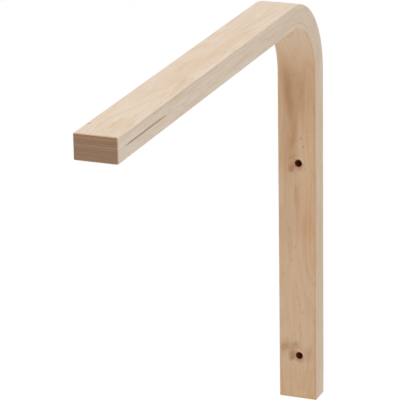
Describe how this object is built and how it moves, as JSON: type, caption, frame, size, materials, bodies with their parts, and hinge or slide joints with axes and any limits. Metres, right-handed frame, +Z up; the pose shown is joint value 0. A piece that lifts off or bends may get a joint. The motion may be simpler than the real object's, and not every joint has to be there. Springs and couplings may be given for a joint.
{
  "type": "bentwood shelf bracket",
  "caption": "Right-angled shelf bracket bent from glued birch veneers, with countersunk screw holes in the leg that goes on the wall.",
  "frame": {"origin": "on the wall face of the leg, midway between the two screw holes", "axes": "+Y out of the wall face into the wall, so the arm reaches along -Y; +Z up the leg towards the arm; +X across the strip"},
  "size_m": [0.022, 0.28, 0.24],
  "materials": {
    "veneered_birch": "form-pressed birch veneers, sanded and clear lacquered"
  },
  "bodies": {
    "root": {"bracket": "veneered_birch"}
  },
  "joints": []
}
